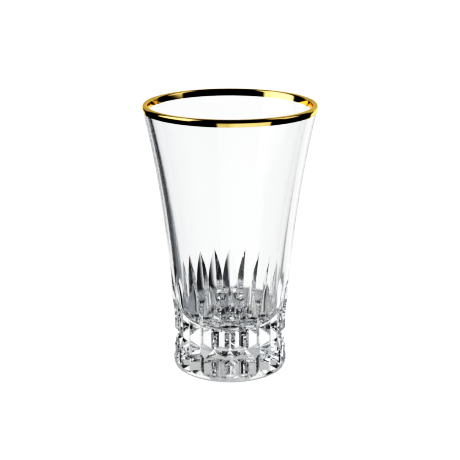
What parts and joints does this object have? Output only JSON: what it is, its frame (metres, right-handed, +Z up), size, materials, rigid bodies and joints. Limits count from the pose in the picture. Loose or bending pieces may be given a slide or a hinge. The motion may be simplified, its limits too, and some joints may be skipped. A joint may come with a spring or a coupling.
{
  "type": "shot glass",
  "caption": "Tall flared cut-crystal shot glass with upright V cuts, a level groove above the foot and a gold band over the lip.",
  "frame": {"origin": "middle of the flat face that the glass stands on", "axes": "+Z up along the axis of the glass, towards the rim; one upright cut faces -Y"},
  "size_m": [0.0504, 0.0504, 0.08],
  "materials": {
    "clear_crystal": "polished",
    "bright_gold": "polished"
  },
  "bodies": {
    "root": {"crystal_body": "clear_crystal", "gold_rim": "bright_gold"}
  },
  "joints": []
}
